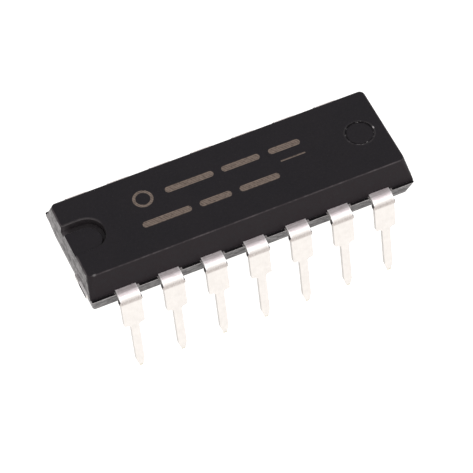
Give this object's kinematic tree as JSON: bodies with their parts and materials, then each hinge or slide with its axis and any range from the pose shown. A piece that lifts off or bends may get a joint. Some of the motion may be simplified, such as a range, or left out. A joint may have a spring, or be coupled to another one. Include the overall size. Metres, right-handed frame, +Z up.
{
  "type": "dip integrated circuit chip",
  "caption": "Dual in-line plastic integrated circuit package with splayed through-hole leads, an index notch and a bare flat top.",
  "frame": {"origin": "centre of the bounding box at the lead tips, which stand on z = 0", "axes": "+X along the body away from the index notch, front row of leads at -Y, +Z up out of the board"},
  "size_m": [0.0196, 0.0094, 0.0068],
  "materials": {
    "epoxy": "fine matt moulded epoxy",
    "lead_plate": "matt tin plate over copper alloy",
    "frame_metal": "rolled copper alloy",
    "adhesive": "silver-filled epoxy",
    "silicon": "polished",
    "gold": "drawn gold wire"
  },
  "bodies": {
    "root": {"body": "epoxy", "die_pad": "frame_metal", "die_attach": "adhesive", "die": "silicon", "lead_01": "lead_plate", "lead_02": "lead_plate", "lead_03": "lead_plate", "lead_04": "lead_plate", "lead_05": "lead_plate", "lead_06": "lead_plate", "lead_07": "lead_plate", "lead_08": "lead_plate", "lead_09": "lead_plate", "lead_10": "lead_plate", "lead_11": "lead_plate", "lead_12": "lead_plate", "lead_13": "lead_plate", "lead_14": "lead_plate", "bond_wire_01": "gold", "bond_wire_02": "gold", "bond_wire_03": "gold", "bond_wire_04": "gold", "bond_wire_05": "gold", "bond_wire_06": "gold", "bond_wire_07": "gold", "bond_wire_08": "gold", "bond_wire_09": "gold", "bond_wire_10": "gold", "bond_wire_11": "gold", "bond_wire_12": "gold", "bond_wire_13": "gold", "bond_wire_14": "gold"}
  },
  "joints": []
}
